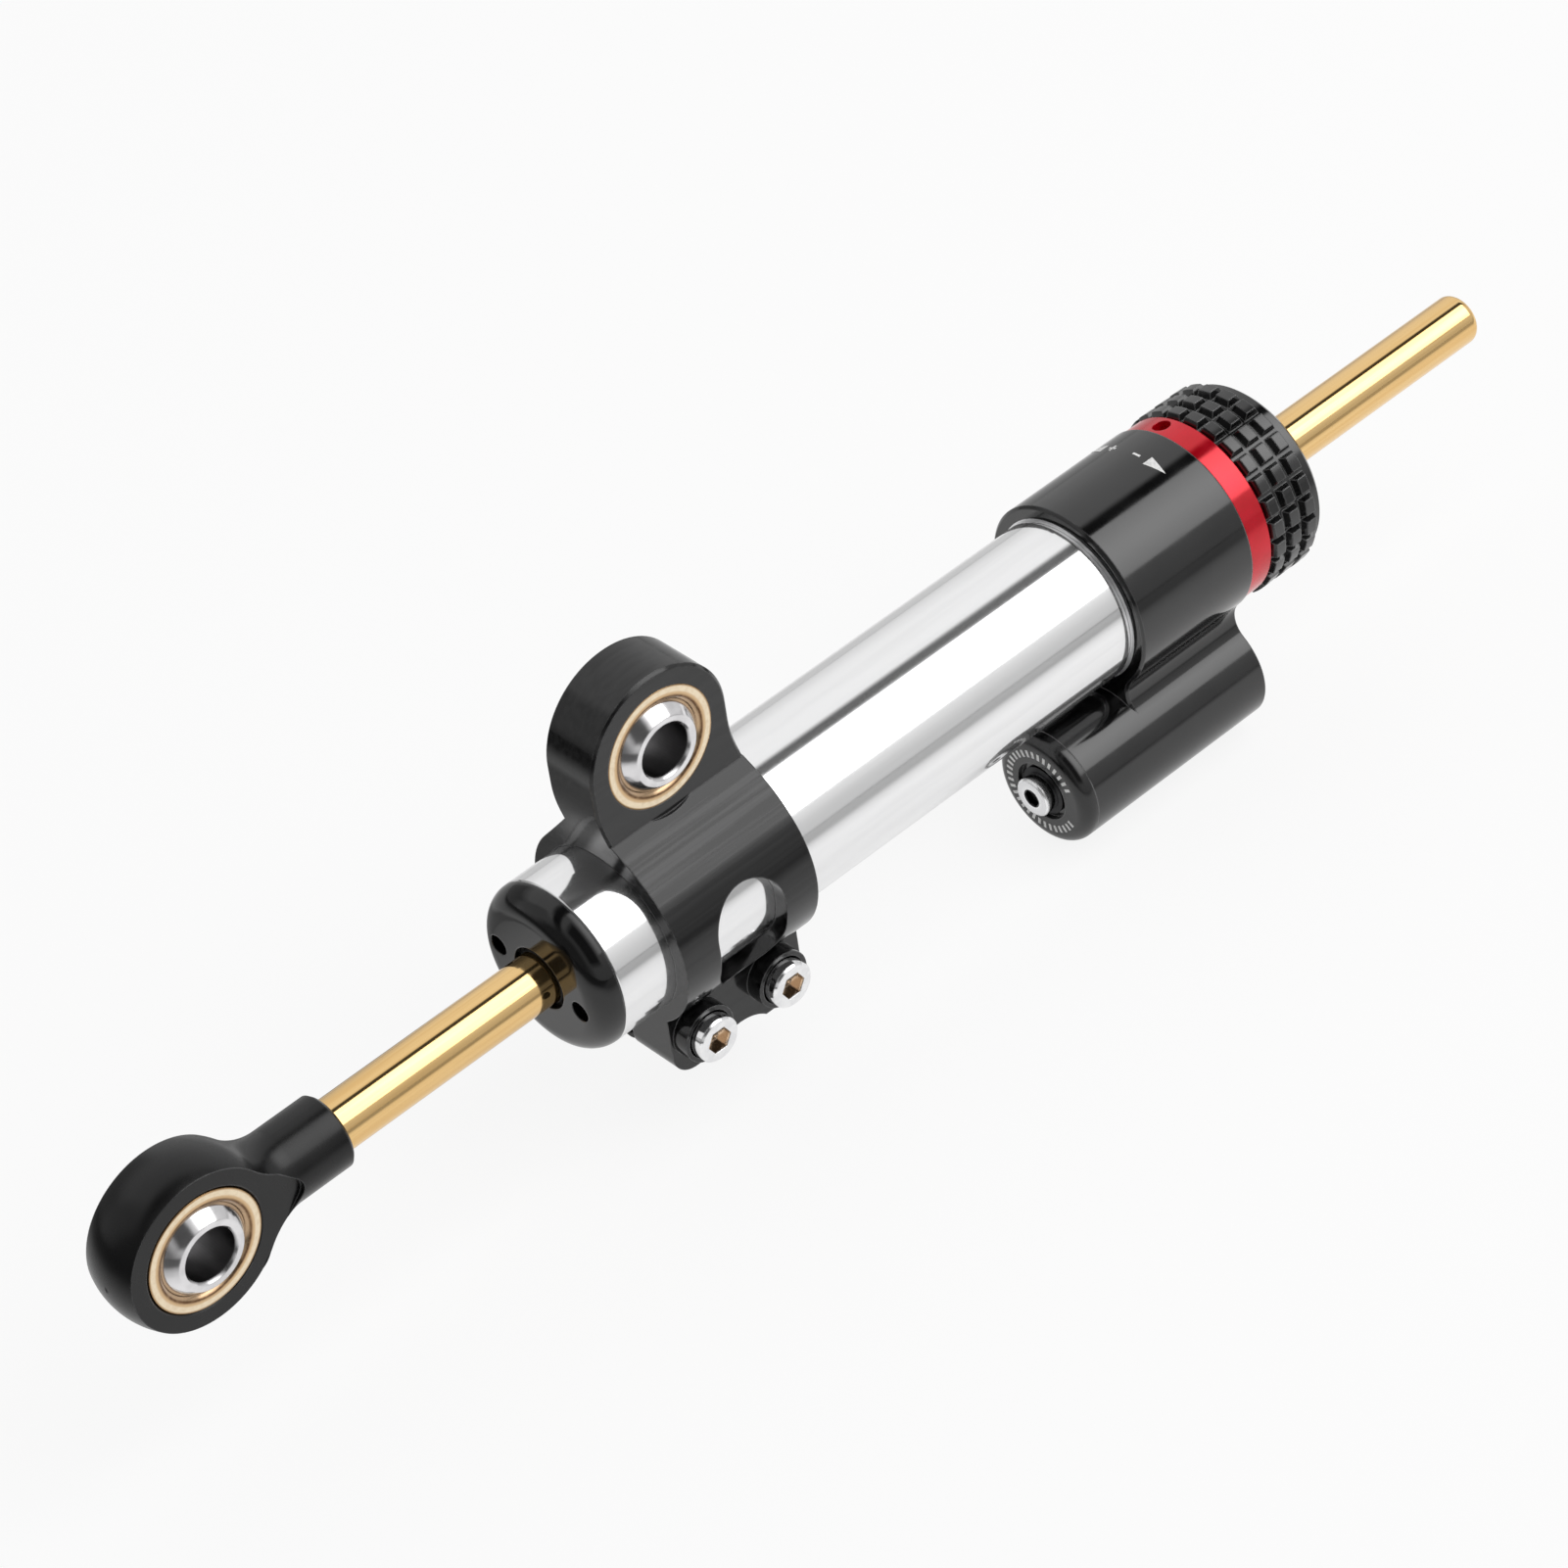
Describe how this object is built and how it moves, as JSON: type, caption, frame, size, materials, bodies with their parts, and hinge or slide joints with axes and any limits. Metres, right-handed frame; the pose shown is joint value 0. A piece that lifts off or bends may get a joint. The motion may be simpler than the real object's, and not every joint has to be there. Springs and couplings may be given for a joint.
{
  "type": "motorcycle steering damper",
  "caption": "Linear steering damper: a gold through rod in a polished cylinder, a clamp with a ball-jointed eye, a click adjuster knob and a side reservoir. The rod strokes and the knob turns.",
  "frame": {"origin": "centre of the clamp eye's ball bore", "axes": "+X along the damper from the rod end to the rod's free tip, Y along both mounting bolts, +Z from the damper's axis up to the clamp eye"},
  "size_m": [0.261, 0.031, 0.0722],
  "materials": {
    "black_anodised": "gloss black anodised",
    "knob_black": "matte black anodised",
    "polished_tube": "bright polished",
    "gold_rod": "polished with a gold titanium nitride coating",
    "bearing_bronze": "pale machined bronze",
    "bearing_steel": "ground and polished",
    "screw_steel": "bright zinc plated",
    "ring_red": "red anodised",
    "sleeve_grey": "hard anodised",
    "piston_metal": "turned",
    "steel_parts": "plain steel",
    "bush_bronze": "sintered bronze",
    "seal_rubber": "satin nitrile rubber",
    "slide_plastic": "filled fluoropolymer",
    "seal_washer": "soft copper"
  },
  "bodies": {
    "clamp": {"clamp_bracket": "black_anodised", "clamp_race": "bearing_bronze", "clamp_screws": "screw_steel"},
    "clamp_ball": {"clamp_ball": "bearing_steel"},
    "cylinder": {"cylinder_tube": "polished_tube", "inner_sleeve": "sleeve_grey", "front_end_cap": "black_anodised", "front_rod_bush": "bush_bronze", "front_rod_seal": "seal_rubber", "front_wiper": "seal_rubber", "front_cap_o_ring": "seal_rubber", "adjuster_housing": "black_anodised", "rear_rod_bush": "bush_bronze", "rear_rod_seal": "seal_rubber", "rear_wiper": "seal_rubber", "index_ring": "ring_red", "adjuster_o_rings": "seal_rubber", "knob_snap_ring": "steel_parts", "detent_ball": "bearing_steel", "detent_spring": "steel_parts", "reservoir_end_cap": "black_anodised", "reservoir_o_ring": "seal_rubber", "fill_screw": "screw_steel", "fill_screw_seal": "seal_washer"},
    "piston": {"piston": "piston_metal", "piston_ring": "slide_plastic", "piston_o_ring": "seal_rubber"},
    "rod": {"piston_rod": "gold_rod", "piston_snap_rings": "steel_parts", "rod_end": "black_anodised", "rod_end_race": "bearing_bronze"},
    "rod_end_ball": {"rod_end_ball": "bearing_steel"},
    "knob": {"adjuster_knob": "knob_black", "metering_sleeve": "piston_metal"},
    "floating_piston": {"floating_piston": "piston_metal", "floating_o_ring": "seal_rubber"}
  },
  "joints": [
    {"name": "clamp_swivel", "type": "hinge", "parent": "clamp", "child": "clamp_ball", "pos_m": [0, 0, 0], "axis": [0, 1, 0], "continuous": true},
    {"name": "clamp_position", "type": "slide", "parent": "clamp", "child": "cylinder", "axis": [1, 0, 0], "range_m": [-0.045, 0.009]},
    {"name": "stroke", "type": "slide", "parent": "cylinder", "child": "piston", "axis": [1, 0, 0], "range_m": [-0.037, 0.035]},
    {"name": "rod_spin", "type": "hinge", "parent": "piston", "child": "rod", "pos_m": [0, 0, -0.0283], "axis": [1, 0, 0], "continuous": true},
    {"name": "rod_end_swivel", "type": "hinge", "parent": "rod", "child": "rod_end_ball", "pos_m": [-0.0848, 0, -0.0283], "axis": [0, 1, 0], "continuous": true},
    {"name": "damping_adjust", "type": "hinge", "parent": "cylinder", "child": "knob", "pos_m": [0, 0, -0.0283], "axis": [1, 0, 0], "range_deg": [0, 270]},
    {"name": "oil_expansion", "type": "slide", "parent": "cylinder", "child": "floating_piston", "axis": [1, 0, 0], "range_m": [-0.006, 0.003]}
  ]
}
